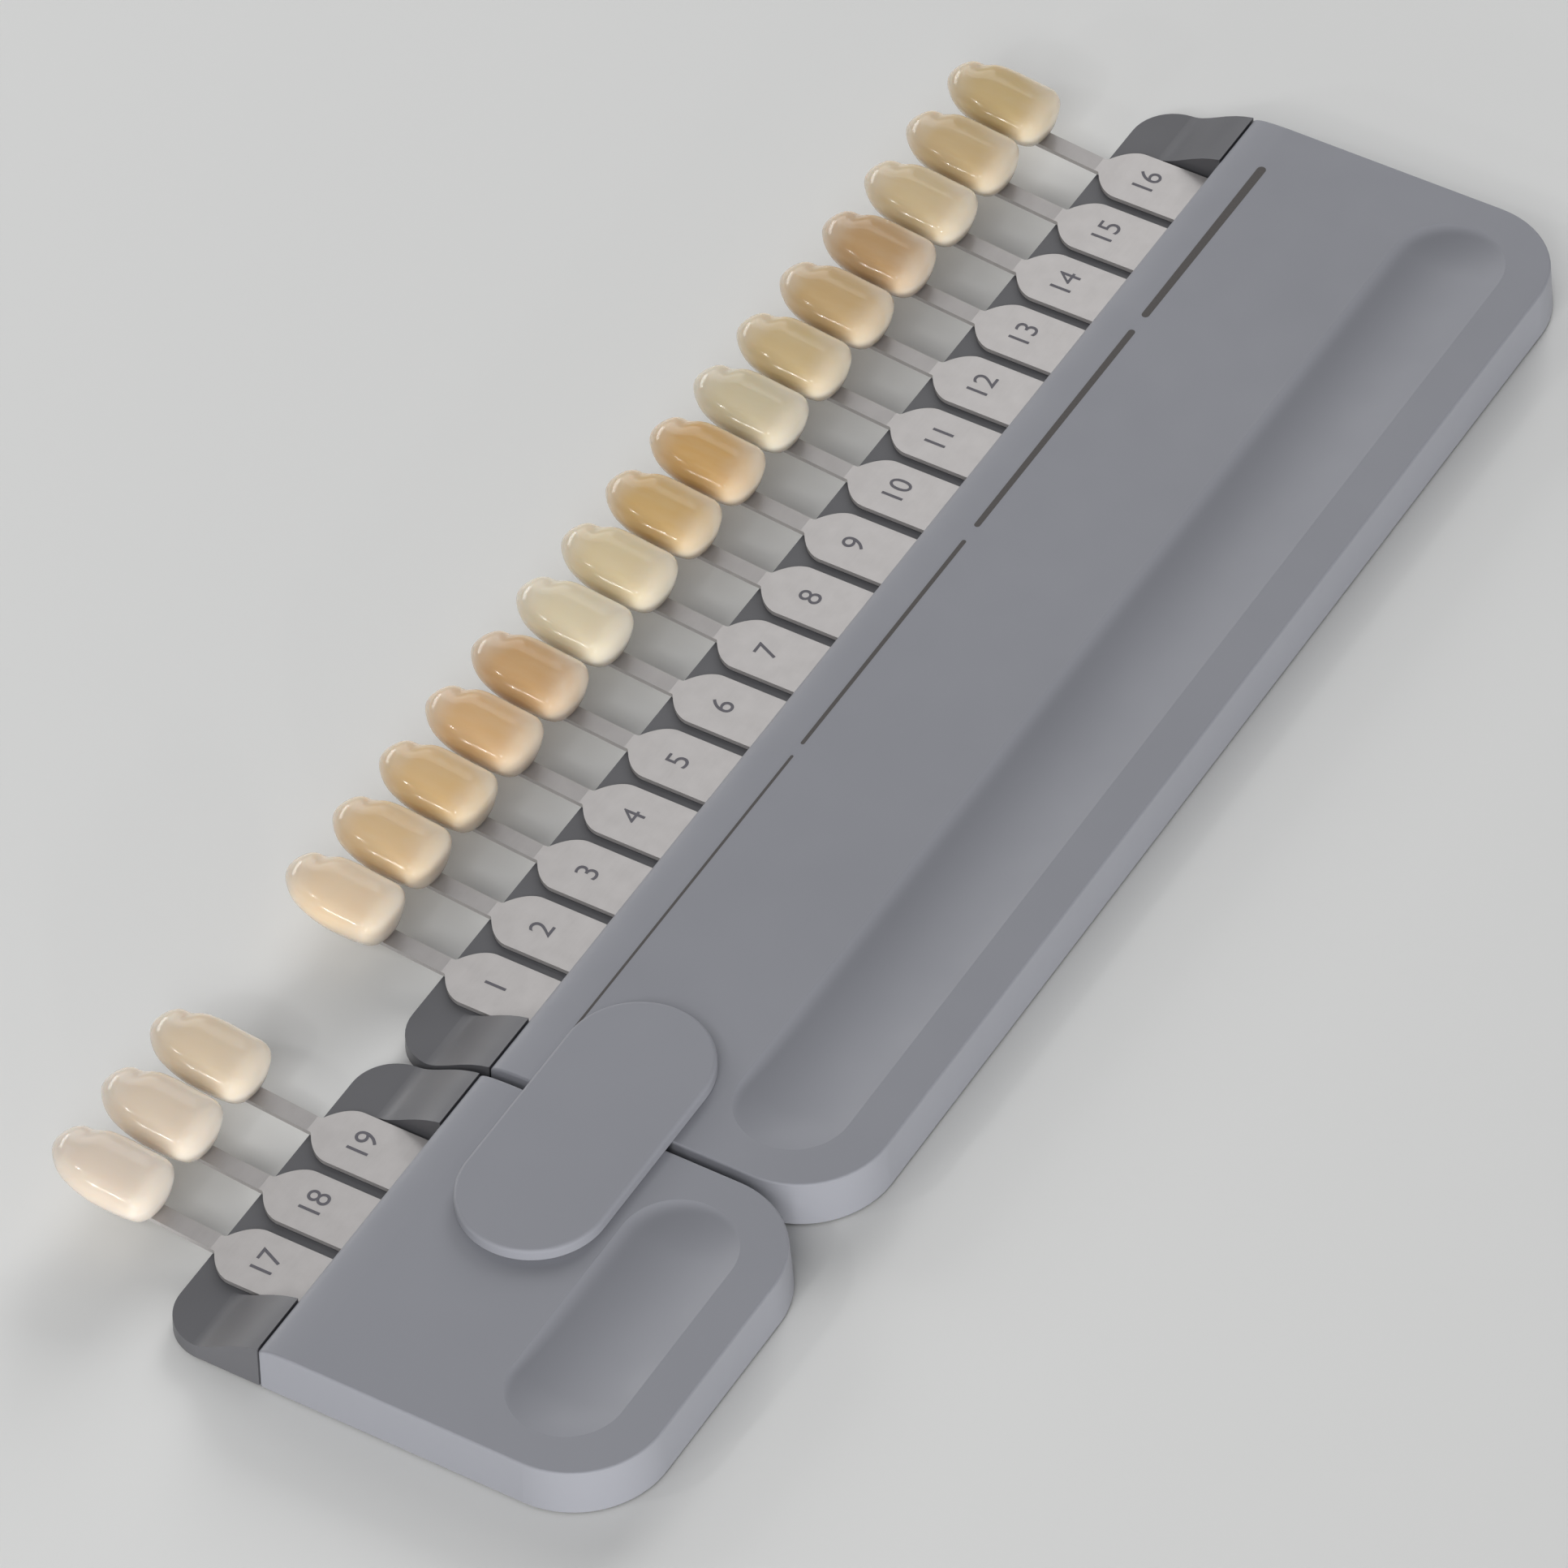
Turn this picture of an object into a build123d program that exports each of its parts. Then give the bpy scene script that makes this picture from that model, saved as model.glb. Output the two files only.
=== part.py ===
from build123d import *
import os
from math import radians, tan

# Dental shade guide: a long holder with sixteen pull-out shade tabs and a short
# extension holder with three more, joined by a flat clip. It lies on its flat base.
# X runs along the row of tabs, +Y points at the teeth, +Z is up. The origin is on the
# table, in the middle of the long holder, below the seam between its cover and base.

# Row of tabs
tab_pitch = 10.5
main_tabs = 16
ext_tabs = 3

# Shade tab: a thin steel carrier with a label plate, a stem and a hidden tongue
sheet = 0.6
label_width = 8.7
label_setback = 0.4
label_shoulder = 4.0
tongue_width = 6.6
tongue_length = 12.5
stem_width = 2.5
stem_root_fillet = 0.4
stem_bend_after = 0.6
stem_rise_angle = 6.5
stem_in_tooth = 4.0

# Artificial tooth, its cutting edge towards the holder
tooth_start = 22.0
tooth_length = 14.95
tooth_width = 9.3
tooth_bottom = 2.8
tooth_height = 8.0

# Holders
holder_height = 6.6
holder_front = 14.8
holder_back = 47.9
front_corner = 6.0
back_corner = 12.0
draft_angle = 3.0
wall = 1.8
wing_width = 9.2
wing_top = 6.05
wing_slope_length = 9.3
wing_clearance = 0.6
plate_thickness = 2.0
cover_edge_height = 5.5
cover_crown_length = 5.0
top_edge_radius = 0.3
cavity_ceiling = 4.4
seam_gap = 0.12
wing_shoulder_drop = 1.0

# Room round the carriers in their slots
slot_clearance = 0.1
guide_clearance = 0.3

# Finger trough in the cover
trough_width = 14.7
trough_depth = 1.5
trough_centre = 34.6
trough_end_margin = 5.2

# Joint between the two holders
holder_gap = 0.7
ext_forward = 0.5
clip_length = 42.0
clip_width = 19.0
clip_thickness = 1.6
clip_edge_radius = 0.5
clip_centre_y = 15.7
clip_over_main = 17.6
clip_clearance = 0.05
peg_radius = 2.0
peg_length = 1.5
peg_spacing = 11.0
peg_clearance = 0.05

# Places worked out from the sizes above
carrier_bottom = plate_thickness + slot_clearance
carrier_top = carrier_bottom + sheet
slot_top = carrier_top + slot_clearance
tongue_slot_length = tongue_length + 2 * guide_clearance
label_front = holder_front - label_setback
stem_bend_at = label_front + stem_bend_after
stem_slope = tan(radians(stem_rise_angle))


def row_half(count):
    """Half of the space between the wings of a holder."""
    return (count - 1) / 2 * tab_pitch + label_width / 2 + wing_clearance


def holder_half(count):
    """Half of a holder's length, at its foot."""
    return row_half(count) + wing_width


main_half = holder_half(main_tabs)
ext_half = holder_half(ext_tabs)
ext_x = -(main_half + holder_gap + ext_half)
tab_row_main = [(i - (main_tabs - 1) / 2) * tab_pitch for i in range(main_tabs)]
tab_row_ext = [(i - (ext_tabs - 1) / 2) * tab_pitch for i in range(ext_tabs)]
clip_x = -main_half + clip_over_main - clip_length / 2


def foot_outline(half, inset=0):
    """Plan of a holder at its foot, or that plan moved inwards."""
    depth = holder_front + holder_back
    with BuildSketch() as plan:
        with Locations((0, (holder_front - holder_back) / 2)):
            Rectangle(2 * half, depth)
        rear = plan.vertices().group_by(Axis.Y)[0]
        fillet(rear, back_corner)
        fore = plan.vertices().group_by(Axis.Y)[-1]
        fillet(fore, front_corner)
        if inset:
            offset(amount=-inset, mode=Mode.REPLACE)
    return plan.sketch


def make_cover(half, count, label):
    """Upper shell: full-height back and end walls, rolled front edge, finger trough."""
    row = row_half(count)
    with BuildPart() as cover:
        add(foot_outline(half))
        extrude(amount=holder_height, taper=draft_angle)
        # Side profile: upright front edge at the seam, rolled over into the flat top
        with BuildSketch(Plane.YZ):
            with BuildLine():
                Polyline((0, cover_edge_height), (0, 0), (-2 * holder_back, 0),
                         (-2 * holder_back, holder_height), (-cover_crown_length, holder_height))
                Bezier((-cover_crown_length, holder_height), (-0.3 * cover_crown_length, holder_height - 0.1),
                       (0, holder_height - 0.35), (0, cover_edge_height))
            make_face()
        extrude(amount=2 * half, both=True, mode=Mode.INTERSECT)
        top_face = cover.faces().sort_by(Axis.Z)[-1]
        rim = [e for e in top_face.edges() if e.center().Y < -1.01 * cover_crown_length]
        fillet(rim, top_edge_radius)
        # Recess for the base plate, open to the front
        add(foot_outline(half, wall))
        extrude(amount=plate_thickness, mode=Mode.SUBTRACT)
        # Slot that takes the tongues
        with BuildSketch(Plane.XY.offset(plate_thickness)):
            with Locations((0, -tongue_slot_length / 2)):
                Rectangle(2 * row, tongue_slot_length)
        extrude(amount=slot_top - plate_thickness, mode=Mode.SUBTRACT)
        # Hollow behind the slot
        with BuildSketch(Plane.XY.offset(plate_thickness)):
            add(foot_outline(half, 2 * wall))
            with Locations((0, holder_front - tongue_slot_length - wall)):
                Rectangle(2 * half, 2 * holder_front, mode=Mode.SUBTRACT)
        extrude(amount=cavity_ceiling - plate_thickness, mode=Mode.SUBTRACT)
        # Finger trough, a shallow round-bottomed groove with round ends
        bowl = (trough_width ** 2 / 4 + trough_depth ** 2) / (2 * trough_depth)
        reach = half - trough_end_margin - trough_width / 2
        level = holder_height - trough_depth + bowl
        with Locations((0, -trough_centre, level)):
            Cylinder(bowl, 2 * reach, rotation=(0, 90, 0), mode=Mode.SUBTRACT)
        with Locations((-reach, -trough_centre, level), (reach, -trough_centre, level)):
            Sphere(bowl, mode=Mode.SUBTRACT)
    cover.part.label = label
    return cover.part


def make_base(half, count, label):
    """Lower tray: plate under the cover, shelf under the labels, a wing at each end."""
    row = row_half(count)
    plan_row = [((i - (count - 1) / 2) * tab_pitch) for i in range(count)]
    with BuildPart() as base:
        add(foot_outline(half))
        extrude(amount=holder_height, taper=draft_angle)
        # Side profile of the wings: low at the front, an S-curve up to the cover
        with BuildSketch(Plane.YZ):
            with BuildLine():
                Polyline((seam_gap, wing_top), (seam_gap, 0), (2 * holder_front, 0),
                         (2 * holder_front, plate_thickness), (wing_slope_length, plate_thickness))
                Bezier((wing_slope_length, plate_thickness),
                       (0.75 * wing_slope_length, plate_thickness),
                       (0.47 * wing_slope_length, wing_top - wing_shoulder_drop),
                       (seam_gap, wing_top))
            make_face()
        extrude(amount=2 * half, both=True, mode=Mode.INTERSECT)
        # Open space between the wings, above the shelf
        with BuildSketch(Plane.XY.offset(plate_thickness)):
            Rectangle(2 * row, 4 * holder_front)
        extrude(amount=holder_height, mode=Mode.SUBTRACT)
        # Plate that closes the cover from below
        with BuildSketch():
            add(foot_outline(half, wall + slot_clearance))
            with Locations((0, 2 * holder_front)):
                Rectangle(2 * half, 2 * holder_front, mode=Mode.SUBTRACT)
        extrude(amount=plate_thickness)
        # Guide ribs between the tongues
        rib = tab_pitch - tongue_width - 2 * guide_clearance
        rib_row = [x + tab_pitch / 2 for x in plan_row[:-1]]
        rib_length = tongue_length - 2 * wall
        with BuildSketch(Plane.XY.offset(plate_thickness)):
            with Locations(*[(x, -wall - rib_length / 2) for x in rib_row]):
                Rectangle(rib, rib_length)
        extrude(amount=carrier_top - plate_thickness)
    base.part.label = label
    return base.part


def egg(level, half_width, bottom, top):
    """Section across the tooth: narrow below, widest above the middle, domed on top."""
    height = top - bottom
    right = [(0.55 * half_width, bottom + 0.10 * height), (0.90 * half_width, bottom + 0.38 * height),
             (half_width, bottom + 0.62 * height), (0.72 * half_width, bottom + 0.88 * height)]
    left = [(-x, z) for x, z in reversed(right)]
    with BuildSketch(Plane(origin=(0, level, 0), x_dir=(1, 0, 0), z_dir=(0, -1, 0))) as section:
        with BuildLine():
            Spline((0, bottom), *right, (0, top), *left, periodic=True)
        make_face()
    return section.sketch


with BuildPart() as carrier:
    # Label plate with sloping round shoulders, the root of the stem, and the tongue
    half_label, half_stem, neck = label_width / 2, stem_width / 2, label_front - label_shoulder
    spread = half_label - half_stem
    with BuildSketch(Plane.XY.offset(carrier_bottom)) as blank:
        with BuildLine():
            Polyline((-half_label, neck), (-half_label, 0), (half_label, 0), (half_label, neck))
            for side in (1, -1):
                Bezier((side * half_label, neck), (side * half_label, neck + 0.45 * label_shoulder),
                       (side * (half_stem + 0.43 * spread), label_front - 0.19 * label_shoulder),
                       (side * half_stem, label_front))
            Polyline((half_stem, label_front), (half_stem, stem_bend_at),
                     (-half_stem, stem_bend_at), (-half_stem, label_front))
        make_face()
        root = blank.vertices().filter_by(lambda v: abs(v.Y - label_front) < 1e-3)
        fillet(root, stem_root_fillet)
        with Locations((0, -tongue_length / 2)):
            Rectangle(tongue_width, tongue_length)
    extrude(amount=sheet)
    # Stem, bent up a little towards the tooth
    stem_end = tooth_start + stem_in_tooth
    rise = (stem_end - stem_bend_at) * stem_slope
    with BuildSketch(Plane.YZ):
        with BuildLine():
            Polyline((stem_bend_at - sheet, carrier_bottom), (stem_bend_at, carrier_bottom),
                     (stem_end, carrier_bottom + rise), (stem_end, carrier_top + rise),
                     (stem_bend_at, carrier_top), (stem_bend_at - sheet, carrier_top), close=True)
        make_face()
    extrude(amount=stem_width / 2, both=True)

half_width = tooth_width / 2
tooth_top = tooth_bottom + tooth_height
# Along the tooth: share of its length, then the section's width, bottom and top as
# shares of the tooth's width and height
tooth_form = [(0.00, 0.46, 0.42, 0.66), (0.02, 0.71, 0.27, 0.78), (0.07, 0.90, 0.12, 0.85),
              (0.16, 0.97, 0.03, 0.90), (0.30, 0.99, 0.00, 0.935), (0.50, 1.00, 0.03, 0.98),
              (0.74, 0.80, 0.15, 1.00), (0.90, 0.51, 0.33, 0.98), (0.97, 0.35, 0.43, 0.90),
              (1.00, 0.18, 0.53, 0.79)]
with BuildPart() as tooth:
    for along, width, low, high in tooth_form:
        add(egg(tooth_start + along * tooth_length, width * half_width,
                tooth_bottom + low * tooth_height, tooth_bottom + high * tooth_height))
    loft()
    add(carrier.part, mode=Mode.SUBTRACT)

with BuildPart() as connector_clip:
    with BuildSketch(Plane.XY.offset(holder_height + clip_clearance)):
        with Locations((clip_x, -clip_centre_y)):
            SlotOverall(clip_length, clip_width)
    extrude(amount=clip_thickness)
    fillet(connector_clip.faces().sort_by(Axis.Z)[-1].edges(), clip_edge_radius)
    # Pegs that hold it in the extension's cover
    peg_x = clip_x - clip_length / 2 + clip_width / 2
    with BuildSketch(Plane.XY.offset(holder_height + clip_clearance)):
        with Locations((peg_x, -clip_centre_y - peg_spacing / 2), (peg_x, -clip_centre_y + peg_spacing / 2)):
            Circle(peg_radius)
    extrude(amount=-peg_length)
connector_clip.part.label = "connector_clip"

main_cover = make_cover(main_half, main_tabs, "main_cover")
main_base = make_base(main_half, main_tabs, "main_base")
ext_move = Location((ext_x, ext_forward, 0))
with BuildPart() as ext_cover:
    add(make_cover(ext_half, ext_tabs, "ext_cover").moved(ext_move))
    with BuildSketch(Plane.XY.offset(holder_height)):
        with Locations((peg_x, -clip_centre_y - peg_spacing / 2), (peg_x, -clip_centre_y + peg_spacing / 2)):
            Circle(peg_radius + peg_clearance)
    extrude(amount=-peg_length - peg_clearance, mode=Mode.SUBTRACT)
ext_cover.part.label = "ext_cover"
ext_base = make_base(ext_half, ext_tabs, "ext_base").moved(ext_move)
ext_base.label = "ext_base"

os.makedirs("parts", exist_ok=True)
export_step(main_cover, "parts/main_cover.step")
export_step(main_base, "parts/main_base.step")
export_step(ext_cover.part, "parts/ext_cover.step")
export_step(ext_base, "parts/ext_base.step")
export_step(connector_clip.part, "parts/connector_clip.step")
places = [(x, 0) for x in tab_row_main] + [(x + ext_x, ext_forward) for x in tab_row_ext]
for number, (x, y) in enumerate(places, start=1):
    for kind, piece in (("carrier", carrier.part), ("tooth", tooth.part)):
        copy = piece.moved(Location((x, y, 0)))
        copy.label = f"{kind}_{number:02d}"
        export_step(copy, f"parts/{copy.label}.step")
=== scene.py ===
import math

import bmesh
import bpy
from mathutils import Matrix, Vector


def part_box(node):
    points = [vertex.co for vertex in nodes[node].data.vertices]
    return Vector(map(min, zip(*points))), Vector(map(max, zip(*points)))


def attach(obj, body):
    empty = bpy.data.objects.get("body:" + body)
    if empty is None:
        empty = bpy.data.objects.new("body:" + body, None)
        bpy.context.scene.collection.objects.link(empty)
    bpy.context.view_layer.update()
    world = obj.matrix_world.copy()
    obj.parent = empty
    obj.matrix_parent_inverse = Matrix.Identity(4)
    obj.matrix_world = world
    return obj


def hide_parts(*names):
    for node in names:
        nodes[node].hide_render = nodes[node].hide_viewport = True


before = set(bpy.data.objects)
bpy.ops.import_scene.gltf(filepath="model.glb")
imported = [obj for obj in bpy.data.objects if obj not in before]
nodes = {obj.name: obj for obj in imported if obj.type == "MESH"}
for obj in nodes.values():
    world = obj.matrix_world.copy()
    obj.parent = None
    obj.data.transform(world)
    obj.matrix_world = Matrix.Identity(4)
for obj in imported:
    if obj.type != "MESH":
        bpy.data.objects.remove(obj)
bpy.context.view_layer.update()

# Dental shade guide: materials, finished teeth, printed numbers and lines, light, camera.
# X runs along the holders, Y out of their slots to the teeth, Z up. Lengths are in metres.
MM = 0.001
MAIN_TABS = 16


def add(name, data):
    """New object with this data, linked into the scene."""
    obj = bpy.data.objects.new(name, data)
    bpy.context.scene.collection.objects.link(obj)
    return obj


# Colours and material nodes

def srgb(r, g, b):
    """Linear colour with alpha from 0..255 display values."""
    out = []
    for c in (r, g, b):
        c = c / 255.0
        out.append(c / 12.92 if c <= 0.04045 else ((c + 0.055) / 1.055) ** 2.4)
    return (*out, 1.0)


def blend_colour(a, b, t):
    return tuple(a[i] * (1 - t) + b[i] * t for i in range(3)) + (1.0,)


def scaled(colour, factors):
    """The colour with its three channels multiplied, none above full."""
    return tuple(min(1.0, c * k) for c, k in zip(colour, factors)) + (1.0,)


# Between these values lies most of what a noise node gives
NOISE_RANGE = (0.3, 0.7)

# The Mix node's sockets for colours, by number because their names repeat
MIX_FACTOR, MIX_A, MIX_B, MIX_RESULT = 0, 6, 7, 2


class Mat:
    """A principled material with short calls for its procedural nodes."""

    def __init__(self, name):
        self.mat = bpy.data.materials.new(name)
        self.mat.use_nodes = True
        self.tree = self.mat.node_tree
        self.tree.nodes.clear()
        out = self.tree.nodes.new("ShaderNodeOutputMaterial")
        self.bsdf = self.tree.nodes.new("ShaderNodeBsdfPrincipled")
        self.feed(out.inputs["Surface"], self.bsdf.outputs["BSDF"])
        self.coord = self.tree.nodes.new("ShaderNodeTexCoord")

    def feed(self, socket, value):
        """Link another node's output to the socket, or give it a plain value."""
        if isinstance(value, bpy.types.NodeSocket):
            self.tree.links.new(value, socket)
        else:
            socket.default_value = value

    def set(self, **values):
        """Feed the shader's inputs by name, with _ for a space."""
        for key, value in values.items():
            self.feed(self.bsdf.inputs[key.replace("_", " ")], value)

    def mapped(self, scale=(1, 1, 1), location=(0, 0, 0)):
        """Object coordinates, stretched and moved."""
        node = self.tree.nodes.new("ShaderNodeMapping")
        self.feed(node.inputs["Scale"], scale)
        self.feed(node.inputs["Location"], location)
        self.feed(node.inputs["Vector"], self.coord.outputs["Object"])
        return node.outputs["Vector"]

    def noise(self, vector, scale, detail):
        node = self.tree.nodes.new("ShaderNodeTexNoise")
        self.feed(node.inputs["Scale"], scale)
        self.feed(node.inputs["Detail"], detail)
        self.feed(node.inputs["Vector"], vector)
        return node.outputs["Fac"]

    def span(self, value, start, end, low=0.0, high=1.0, smooth=False):
        """Values from start to end become values from low to high, clamped."""
        node = self.tree.nodes.new("ShaderNodeMapRange")
        if smooth:
            node.interpolation_type = "SMOOTHSTEP"
        for key, v in zip(("From Min", "From Max", "To Min", "To Max"), (start, end, low, high)):
            self.feed(node.inputs[key], v)
        self.feed(node.inputs["Value"], value)
        return node.outputs["Result"]

    def maths(self, operation, *values):
        node = self.tree.nodes.new("ShaderNodeMath")
        node.operation = operation
        for i, v in enumerate(values):
            self.feed(node.inputs[i], v)
        return node.outputs["Value"]

    def weighed(self, a, weight_a, b, weight_b):
        return self.maths("ADD", self.maths("MULTIPLY", a, weight_a),
                          self.maths("MULTIPLY", b, weight_b))

    def length(self, a, b):
        return self.maths("SQRT", self.weighed(a, a, b, b))

    def mix(self, factor, a, b):
        node = self.tree.nodes.new("ShaderNodeMix")
        node.data_type = "RGBA"
        for i, v in ((MIX_FACTOR, factor), (MIX_A, a), (MIX_B, b)):
            self.feed(node.inputs[i], v)
        return node.outputs[MIX_RESULT]

    def box_shares(self):
        """Place in the object's box, from 0 to 1 along each axis."""
        node = self.tree.nodes.new("ShaderNodeSeparateXYZ")
        self.feed(node.inputs["Vector"], self.coord.outputs["Generated"])
        return node.outputs["X"], node.outputs["Y"], node.outputs["Z"]

    def bump(self, height, strength, distance, before=None):
        """Bump in metres, on top of an earlier one where there is one."""
        node = self.tree.nodes.new("ShaderNodeBump")
        self.feed(node.inputs["Strength"], strength)
        self.feed(node.inputs["Distance"], distance)
        self.feed(node.inputs["Height"], height)
        if before is not None:
            self.feed(node.inputs["Normal"], before)
        return node.outputs["Normal"]


# Materials

def moulded_plastic(name, colour, rough, grain, spread=0.05):
    """Satin moulded plastic: slow tint drift, fine speckle, spark-eroded grain."""
    m = Mat(name)
    drift = m.noise(m.mapped(), scale=28.0, detail=2.0)
    speckle = m.noise(m.mapped(), scale=2600.0, detail=2.0)
    cloud = m.noise(m.mapped(), scale=160.0, detail=4.0)
    dark, light = scaled(colour, [1 - spread] * 3), scaled(colour, [1 + spread] * 3)
    tint = m.mix(m.span(drift, *NOISE_RANGE), dark, light)
    tint = m.mix(m.span(speckle, 0.35, 0.75, high=0.10), tint, light)
    m.set(Base_Color=tint,
          Roughness=m.span(cloud, *NOISE_RANGE, low=rough - 0.04, high=rough + 0.05),
          Normal=m.bump(speckle, strength=grain, distance=0.03 * MM),
          IOR=1.48)
    return m.mat


def satin_steel(name):
    """Satin finished sheet steel with fine marks across the strip."""
    m = Mat(name)
    brushed = m.noise(m.mapped(scale=(220, 2600, 220)), scale=1.0, detail=3.0)
    cloud = m.noise(m.mapped(), scale=420.0, detail=3.0)
    tint = m.mix(m.span(cloud, *NOISE_RANGE), srgb(186, 182, 180), srgb(193, 189, 187))
    tint = m.mix(m.span(brushed, 0.35, 0.7, high=0.25), tint, srgb(197, 194, 192))
    m.set(Base_Color=tint,
          Roughness=m.span(brushed, *NOISE_RANGE, low=0.30, high=0.35),
          Normal=m.bump(brushed, strength=0.02, distance=0.004 * MM),
          Metallic=0.4)
    return m.mat


# Pale outer colour of a tooth: partly its clear enamel, partly painted light, a painted glow
# through the thin edges and painted brightening of the flanks that neighbouring teeth shade
ENAMEL_AND_GLOW_COLOUR, ENAMEL_AND_GLOW_SHARE = srgb(213, 204, 192), 0.65
CORE_TONE = (0.98, 0.93, 0.87)
# Seen from the tooth's axis, the core lies to the left (-X) and up
CORE_LEFT, CORE_UP = 0.45, 0.89
# Where the core is thickest, from cutting edge to neck, and how far off both ends count
CORE_Y, EDGE_FAR, NECK_FAR = 0.45, 0.85, 1.05


def layered_tooth(name, body, seed):
    """Porcelain tooth: warm core on its upper left flank, paler layer all round that is partly
    clear enamel and partly painted glow and painted light.
    """
    m = Mat(name)
    x, y, z = m.box_shares()
    clear = blend_colour(body, ENAMEL_AND_GLOW_COLOUR, ENAMEL_AND_GLOW_SHARE)
    core = scaled(body, CORE_TONE)
    wave = m.noise(m.mapped(location=(seed * 0.37, 0, 0)), scale=240.0, detail=2.0)
    side = m.maths("MULTIPLY", m.maths("SUBTRACT", x, 0.5), 1.16)
    height = m.maths("SUBTRACT", z, 0.45)
    facing = m.maths("DIVIDE", m.weighed(side, -CORE_LEFT, height, CORE_UP),
                     m.length(side, height))
    across = m.span(facing, 1.0, 0.0)
    along = m.maths("MAXIMUM", m.span(y, 0.0, CORE_Y, low=EDGE_FAR, high=0.0),
                    m.span(y, CORE_Y, 1.0, low=0.0, high=NECK_FAR))
    radius = m.maths("ADD", m.length(across, along),
                     m.span(wave, *NOISE_RANGE, low=-0.06, high=0.06))
    # Towards the rim the core passes into the pale colour, partly clear enamel and partly painted
    # glow and painted light on the shaded flanks
    tint = m.mix(m.span(radius, 0.30, 1.0, smooth=True), core, clear)
    streak = m.noise(m.mapped(scale=(1, 0.16, 1), location=(seed, 0, 0)), scale=900.0, detail=3.0)
    tint = m.mix(m.span(streak, 0.35, 0.75, high=0.12), tint, clear)
    ripple = m.noise(m.mapped(scale=(1, 0.35, 1), location=(seed, 1, 0)), scale=420.0, detail=2.0)
    rippled = m.bump(ripple, strength=0.22, distance=0.3 * MM)
    m.set(Base_Color=tint,
          Roughness=m.span(wave, *NOISE_RANGE, low=0.14, high=0.20),
          Normal=m.bump(streak, strength=0.08, distance=0.05 * MM, before=rippled),
          Subsurface_Weight=0.6, Subsurface_Radius=(4 * MM, 3 * MM, 2 * MM),
          Subsurface_Scale=1.0, Coat_Weight=0.12, Coat_Roughness=0.06)
    return m.mat


def ink(name, colour):
    """Printing ink with a fine uneven grain."""
    m = Mat(name)
    grain = m.noise(m.mapped(), scale=3000.0, detail=2.0)
    m.set(Base_Color=m.mix(m.span(grain, *NOISE_RANGE), colour, scaled(colour, [1.25] * 3)),
          Roughness=m.span(grain, *NOISE_RANGE, low=0.42, high=0.55),
          Normal=m.bump(grain, strength=0.1, distance=0.01 * MM))
    return m.mat


cover_mat = moulded_plastic("cover_plastic", srgb(140, 141, 147), rough=0.44, grain=0.10,
                            spread=0.025)
base_mat = moulded_plastic("base_plastic", srgb(94, 94, 97), rough=0.38, grain=0.05)
steel_mat = satin_steel("carrier_steel")
line_mat = ink("line_ink", srgb(72, 68, 66))
number_mat = ink("number_ink", srgb(92, 90, 96))

# Body colour of each tooth, from tab 1 on
SHADES = [
    (220, 203, 178), (212, 188, 150), (210, 183, 138), (210, 178, 134), (199, 166, 122),
    (218, 210, 185), (214, 202, 170), (202, 174, 122), (201, 167, 112), (204, 196, 170),
    (202, 184, 144), (196, 172, 130), (186, 157, 117), (204, 188, 154), (198, 178, 139),
    (197, 178, 135), (217, 208, 197), (216, 205, 190), (214, 201, 180),
]
TABS = len(SHADES)


def dress(name, mat):
    """Give a piece of the CAD model this material in every slot."""
    obj = nodes[name]
    if not obj.data.materials:
        obj.data.materials.append(mat)
    for i in range(len(obj.data.materials)):
        obj.data.materials[i] = mat


for name in ("main_cover", "ext_cover", "connector_clip"):
    dress(name, cover_mat)
for name in ("main_base", "ext_base"):
    dress(name, base_mat)
for i, shade in enumerate(SHADES, 1):
    dress("carrier_%02d" % i, steel_mat)
    dress("tooth_%02d" % i, layered_tooth("shade_%02d" % i, srgb(*shade), i))


# Finished teeth

# The form along a tooth, from its cutting edge (0) to its neck (1): half widths to the
# left and right, underside and top, all as shares of the tooth's box
FORM = [
    (0.00, 0.92, 0.92, 0.10, 0.84),
    (0.16, 0.98, 0.97, 0.03, 0.90),
    (0.30, 0.99, 0.99, 0.00, 0.935),
    (0.50, 1.00, 1.00, 0.03, 0.98),
    (0.64, 0.94, 0.92, 0.09, 1.00),
    (0.76, 0.83, 0.82, 0.16, 1.00),
    (0.88, 0.68, 0.73, 0.27, 0.99),
    (1.00, 0.52, 0.62, 0.38, 0.95),
]
# Cross-section of a tooth, from the middle of its underside
EGG = [(0.0, 0.0), (0.55, 0.10), (0.90, 0.38), (1.0, 0.62), (0.72, 0.88), (0.0, 1.0),
       (-0.72, 0.88), (-1.0, 0.62), (-0.90, 0.38), (-0.55, 0.10)]
# Rings along a tooth, and points for each step of the cross-section
RINGS, AROUND = 46, 4
# How much of the length rounds each end off, how fully, and the height it closes at
EDGE_ROUND, EDGE_POWER, EDGE_MIDDLE = 0.15, 2.5, 0.50
NECK_ROUND, NECK_POWER, NECK_MIDDLE = 0.22, 2.1, 0.66
# The notch beside the neck and the swelling before it: place and reach along the tooth,
# depth, and how much the depth differs between teeth
NOTCH_PLACE, NOTCH_REACH, NOTCH_DEPTH, NOTCH_CHANGE = 0.765, 0.065, 0.090, 0.012
SWELL_PLACE, SWELL_REACH, SWELL_DEPTH, SWELL_CHANGE = 0.62, 0.080, 0.025, 0.006
# Their middle and reach round the cross-section, in radians from +X towards the top
NOTCH_TURN, NOTCH_SPREAD = 0.75, 0.85


def between(a, b, c, d, t):
    """Smooth curve through b and c."""
    return 0.5 * (2 * b + (c - a) * t + (2 * a - 5 * b + 4 * c - d) * t * t
                  + (3 * b - a - 3 * c + d) * t ** 3)


def bell(value, centre, reach):
    return math.exp(-((value - centre) / reach) ** 2)


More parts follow.
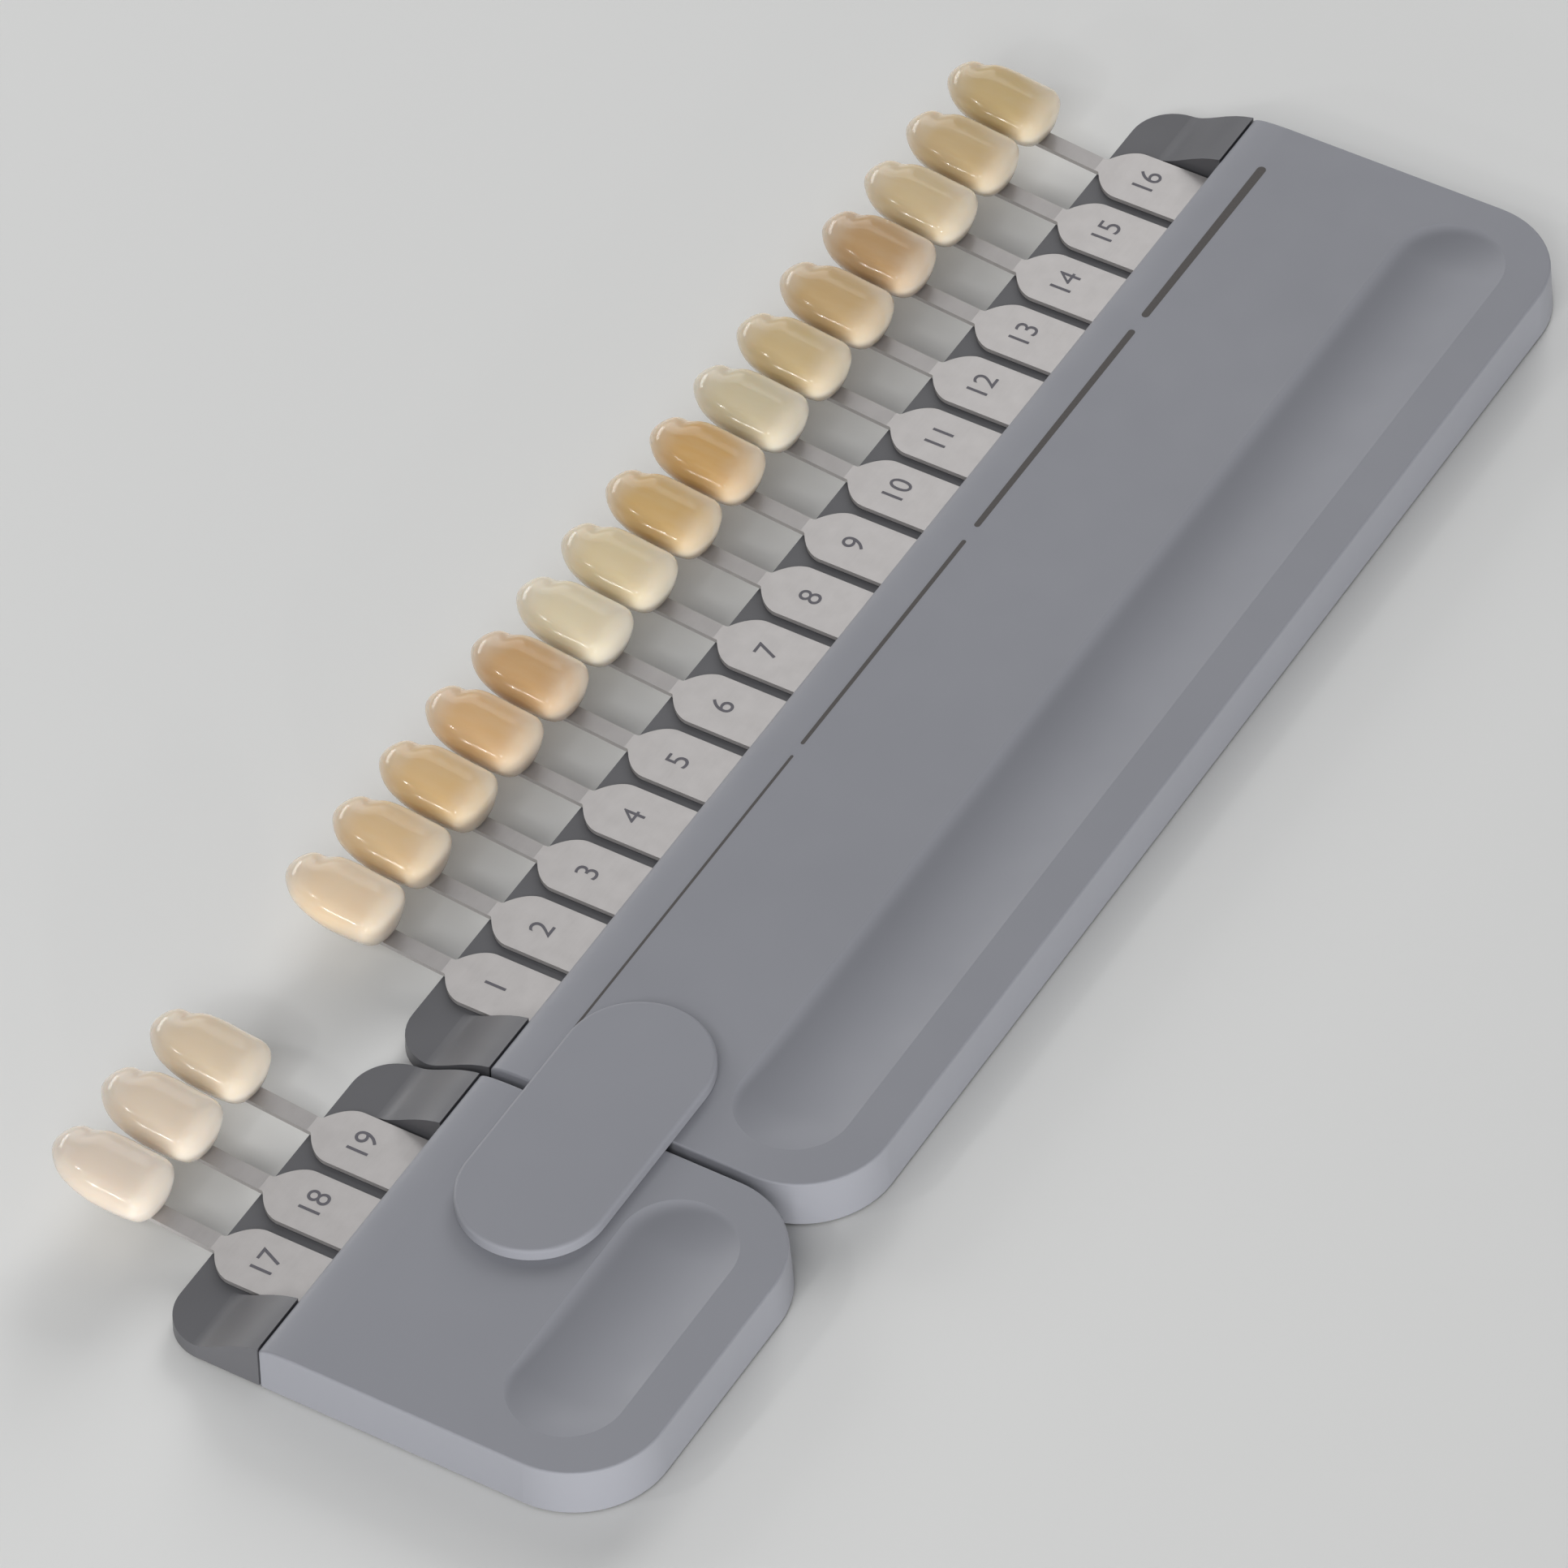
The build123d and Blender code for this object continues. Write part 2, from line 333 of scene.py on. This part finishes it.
def form_at(along):
    """Left, right, underside and top at a place along the tooth."""
    k = max(i for i in range(len(FORM) - 1) if FORM[i][0] <= along)
    t = (along - FORM[k][0]) / (FORM[k + 1][0] - FORM[k][0])
    near = [FORM[max(0, min(len(FORM) - 1, k + j))] for j in (-1, 0, 1, 2)]
    return [between(*(row[c] for row in near), t) for c in range(1, 5)]


def closing(share, power):
    """Rounds an end off: 0 at the very end, 1 where the body starts."""
    share = max(0.0, min(1.0, share))
    return (1 - (1 - share) ** power) ** (1 / power)


def tooth_rings(notch_depth, swell_depth):
    """Rings of points in the tooth's box, with the soft notch beside the neck."""
    count = len(EGG)
    rings = []
    for k in range(1, RINGS):
        along = 0.5 - 0.5 * math.cos(math.pi * k / RINGS)
        left, right, low, high = form_at(along)
        round_off = (closing(along / EDGE_ROUND, EDGE_POWER)
                     * closing((1 - along) / NECK_ROUND, NECK_POWER))
        middle = EDGE_MIDDLE if along < 0.5 else NECK_MIDDLE
        low, high = (middle + (v - middle) * round_off for v in (low, high))
        depth = (notch_depth * bell(along, NOTCH_PLACE, NOTCH_REACH)
                 - swell_depth * bell(along, SWELL_PLACE, SWELL_REACH))
        ring = []
        for i in range(count):
            ends = [EGG[(i + m) % count] for m in (-1, 0, 1, 2)]
            for j in range(AROUND):
                u = between(*(e[0] for e in ends), j / AROUND)
                v = between(*(e[1] for e in ends), j / AROUND)
                beside = bell(math.atan2(v - 0.5, u), NOTCH_TURN, NOTCH_SPREAD)
                notch = 1 - beside * depth
                x = u * (left if u < 0 else right) * round_off * notch
                z = low + (high - low) * (0.5 + (v - 0.5) * notch)
                ring.append((x, along, z))
        rings.append(ring)
    return rings


def tooth_mesh(name, lo, hi, rings):
    """Smooth closed mesh of the rings, kept inside the box from lo to hi."""
    centre, half = (lo[0] + hi[0]) / 2, (hi[0] - lo[0]) / 2
    mesh = bpy.data.meshes.new(name)
    bm = bmesh.new()

    def spot(x, y, z):
        return bm.verts.new((max(lo[0], min(hi[0], centre + x * half)),
                             lo[1] + y * (hi[1] - lo[1]),
                             max(lo[2], min(hi[2], lo[2] + z * (hi[2] - lo[2])))))

    rows = [[spot(*point) for point in ring] for ring in rings]
    count = len(rows[0])
    for a, b in zip(rows, rows[1:]):
        for i in range(count):
            j = (i + 1) % count
            bm.faces.new((a[i], a[j], b[j], b[i]))
    edge, neck = spot(0, 0, EDGE_MIDDLE), spot(0, 1, NECK_MIDDLE)
    for i in range(count):
        j = (i + 1) % count
        bm.faces.new((edge, rows[0][j], rows[0][i]))
        bm.faces.new((neck, rows[-1][i], rows[-1][j]))
    bmesh.ops.recalc_face_normals(bm, faces=bm.faces)
    for face in bm.faces:
        face.smooth = True
    bm.to_mesh(mesh)
    bm.free()
    return mesh


for i in range(1, TABS + 1):
    node = "tooth_%02d" % i
    lo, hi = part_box(node)
    shape = tooth_rings(NOTCH_DEPTH + NOTCH_CHANGE * math.sin(i * 2.1),
                        SWELL_DEPTH + SWELL_CHANGE * math.cos(i * 1.7))
    name = "porcelain_%02d" % i
    obj = add(name, tooth_mesh(name, lo, hi, shape))
    obj.data.materials.append(nodes[node].data.materials[0])
    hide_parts(node)
    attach(obj, "tab_%02d" % i)


# Printed numbers and group lines

NUMBER_SIZE = 4.3 * MM
# From the inner end of a carrier to the middle of its number
NUMBER_IN = 20.4 * MM
# Thickness of the label's sheet, and how far the print stands off what it is on
SHEET = 0.6 * MM
NUMBER_LIFT = 0.015 * MM
LINE_LIFT = 0.012 * MM


def finished(obj, body, mat):
    """Material, slot and body of a printed piece."""
    obj.data.materials.append(mat)
    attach(obj, body)


def middle_x(node):
    lo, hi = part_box(node)
    return (lo[0] + hi[0]) / 2


for i in range(1, TABS + 1):
    carrier = "carrier_%02d" % i
    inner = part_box(carrier)[0]
    name = "number_%02d" % i
    curve = bpy.data.curves.new(name, "FONT")
    curve.body = str(i)
    curve.size = NUMBER_SIZE
    curve.align_x = "CENTER"
    curve.align_y = "CENTER"
    obj = add(name, curve)
    obj.location = (middle_x(carrier), inner[1] + NUMBER_IN, inner[2] + SHEET + NUMBER_LIFT)
    finished(obj, "tab_%02d" % i, number_mat)

FIRST_X = middle_x("carrier_01")
PITCH = (middle_x("carrier_%02d" % MAIN_TABS) - FIRST_X) / (MAIN_TABS - 1)
COVER_FRONT, COVER_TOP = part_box("main_cover")[1][1:]
LINE_Y = COVER_FRONT - 5.75 * MM
# The bar is this share of its width thinner at its start and thicker at its end
LINE_TAPER = 0.08
# Straight pieces in the half circle at each end of a bar
LINE_STEPS = 12
# Each bar's start and end, counted in tabs from the first one, and its width in mm
LINES = [(-0.42, 4.42, 0.35), (4.62, 8.37, 0.55), (8.62, 12.37, 0.85), (12.62, 15.57, 1.10)]


def group_line(name, start, end, width):
    """Flat printed bar with round ends that widens slightly towards its end."""
    thin, thick = width / 2 * (1 - LINE_TAPER), width / 2 * (1 + LINE_TAPER)
    outline = []
    for centre, radius, first in ((start + thin, thin, 0.5), (end - thick, thick, -0.5)):
        for k in range(LINE_STEPS + 1):
            a = math.pi * (first + k / LINE_STEPS)
            outline.append((centre + radius * math.cos(a), LINE_Y + radius * math.sin(a)))
    mesh = bpy.data.meshes.new(name)
    bm = bmesh.new()
    low = [bm.verts.new((x, y, COVER_TOP - LINE_LIFT / 2)) for x, y in outline]
    top = [bm.verts.new((x, y, COVER_TOP + LINE_LIFT)) for x, y in outline]
    bm.faces.new(top)
    for k in range(len(outline)):
        after = (k + 1) % len(outline)
        bm.faces.new((low[k], low[after], top[after], top[k]))
    bm.normal_update()
    bm.to_mesh(mesh)
    bm.free()
    finished(add(name, mesh), "holder", line_mat)


for k, (start, end, width) in enumerate(LINES, 1):
    group_line("group_line_%d" % k, FIRST_X + start * PITCH, FIRST_X + end * PITCH, width * MM)


# Floor, light and camera

FLOOR_HALF = 3.0
FLOOR_DROP = 0.3 * MM

sheet = bpy.data.meshes.new("floor")
sheet.from_pydata([(x * FLOOR_HALF, y * FLOOR_HALF, 0)
                   for x, y in ((-1, -1), (1, -1), (1, 1), (-1, 1))], [], [(0, 1, 2, 3)])
floor = add("floor", sheet)
floor.location = (0, 0, -FLOOR_DROP)
floor_mat = Mat("floor_matt")
floor_mat.set(Base_Color=srgb(226, 226, 224), Roughness=0.9)
floor.data.materials.append(floor_mat.mat)


def softbox(name, place, aim, width, height, power, mirrored=True):
    """Soft panel lamp; one that isn't mirrored shows in no glossy surface."""
    light = bpy.data.lights.new(name, "AREA")
    light.shape = "RECTANGLE"
    light.size = width
    light.size_y = height
    light.energy = power
    obj = add(name, light)
    obj.location = place
    obj.rotation_euler = (Vector(aim) - Vector(place)).to_track_quat("-Z", "Y").to_euler()
    obj.visible_glossy = mirrored


softbox("low_corner", place=(-1.90, -2.13, 0.068), aim=(-0.02, 0, 0.01),
        width=2.3, height=0.095, power=80.0, mirrored=False)
softbox("fill", place=(-0.95, -0.25, 0.85), aim=(0, 0, 0),
        width=0.6, height=0.6, power=4.6, mirrored=False)
softbox("side_right", place=(2.40, 0.55, 1.00), aim=(0.02, 0, 0),
        width=1.1, height=1.1, power=39.0, mirrored=False)
softbox("front_low", place=(0.30, 1.25, 0.50), aim=(0, 0, 0),
        width=0.9, height=0.4, power=4.5)
softbox("over_right", place=(0.95, 0.75, 0.85), aim=(0.05, 0, 0),
        width=0.9, height=0.9, power=3.2)

# Small lamps that the teeth mirror as the specks in the photo
GLINTS = [(-0.61, 0.465, 0.65), (-0.83, -0.015, 0.56), (-0.85, -0.48, 0.18),
          (-0.89, 0.285, 0.37)]
for k, spot in enumerate(GLINTS, 1):
    softbox("glint_%d" % k, spot, aim=(-0.02, 0.03, 0), width=0.032, height=0.032, power=0.4)

world = bpy.data.worlds.new("studio")
world.use_nodes = True
sky = world.node_tree.nodes["Background"]
sky.inputs["Color"].default_value = (0.93, 0.95, 1.0, 1.0)
sky.inputs["Strength"].default_value = 0.21
bpy.context.scene.world = world

# The camera fitted to the photo: its angles round the part and its roll, the point it was
# fitted at, how far that point is, and the pixel of the square photo that shows it
AZIMUTH, ELEVATION, ROLL = math.radians(-56.797), math.radians(46.864), math.radians(3.246)
LOOK = Vector((-0.017535, -0.01520, 0.00315))
DISTANCE = 1.3083
PHOTO_PIXELS, FOCAL_PIXELS = 1932, 13248
LOOK_RIGHT, LOOK_DOWN = 1136.96, 892.25
SENSOR_MM = 36.0

# In picture widths: the focal length, and the point's place from the middle, right and up
focal = FOCAL_PIXELS / PHOTO_PIXELS
look_u, look_v = LOOK_RIGHT / PHOTO_PIXELS - 0.5, 0.5 - LOOK_DOWN / PHOTO_PIXELS

back = Vector((math.sin(AZIMUTH) * math.cos(ELEVATION),
               -math.cos(AZIMUTH) * math.cos(ELEVATION), math.sin(ELEVATION)))
flat_right = Vector((math.cos(AZIMUTH), math.sin(AZIMUTH), 0))
flat_up = back.cross(flat_right)
right = math.cos(ROLL) * flat_right - math.sin(ROLL) * flat_up
up = math.sin(ROLL) * flat_right + math.cos(ROLL) * flat_up
place = LOOK + back * DISTANCE - (right * look_u + up * look_v) * (DISTANCE / focal)

camera_data = bpy.data.cameras.new("photo_camera")
camera_data.sensor_width = SENSOR_MM
camera_data.lens = SENSOR_MM * focal
camera_data.clip_start = 0.01
camera_data.clip_end = 50.0
camera = add("photo_camera", camera_data)
turn = Matrix((right, up, back)).transposed().to_4x4()
camera.matrix_world = Matrix.Translation(place) @ turn
bpy.context.scene.camera = camera

bpy.context.scene.view_settings.view_transform = "Standard"
